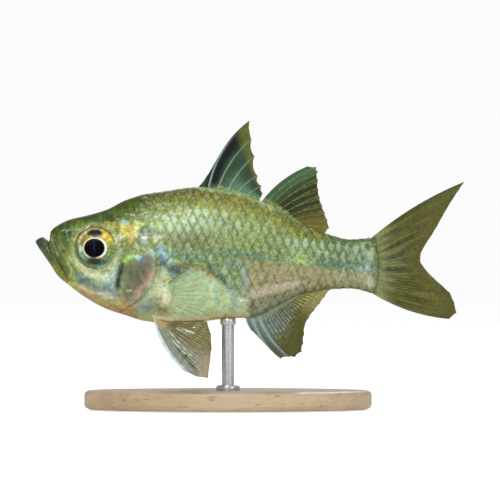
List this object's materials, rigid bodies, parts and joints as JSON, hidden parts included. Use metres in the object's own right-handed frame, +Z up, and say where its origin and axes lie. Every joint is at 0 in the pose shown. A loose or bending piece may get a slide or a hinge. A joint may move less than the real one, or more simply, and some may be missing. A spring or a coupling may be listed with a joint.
{
  "type": "Agassiz's glassfish display model",
  "caption": "Life-size glassfish, a small deep-bodied freshwater fish with notched spiny dorsal fins and a forked tail, held still on a rod over an oval base.",
  "frame": {"origin": "on the table, under the middle of the whole model's box", "axes": "+X from the snout to the tail, +Z up, -Y out of the fish's left side"},
  "size_m": [0.0687, 0.026, 0.0462],
  "materials": {
    "flank": "wet, finely scaled skin with a silvery sheen",
    "head": "wet, smooth skin with a silvery sheen",
    "jaw": "wet, smooth skin",
    "gill_cover": "silvery, glossy",
    "eye": "clear wet cornea over a cream and gold iris",
    "fin_dark": "thin wet membrane between spines",
    "fin_olive": "thin wet membrane between rays",
    "fin_pale": "thin wet membrane between rays",
    "wood": "satin beech",
    "steel": "brushed"
  },
  "bodies": {
    "root": {"head": "head", "jaw_lower": "jaw", "jaw_upper": "jaw", "operculum_left": "gill_cover", "operculum_right": "gill_cover", "eye_left": "eye", "eye_right": "eye", "torso": "flank", "tail_peduncle": "flank", "fin_dorsal_first": "fin_dark", "fin_dorsal_second": "fin_olive", "fin_anal": "fin_olive", "fin_caudal": "fin_olive", "fin_pelvic_left": "fin_pale", "fin_pelvic_right": "fin_pale", "fin_pectoral_left": "fin_pale", "fin_pectoral_right": "fin_pale", "stand_base": "wood", "stand_rod": "steel"}
  },
  "joints": []
}
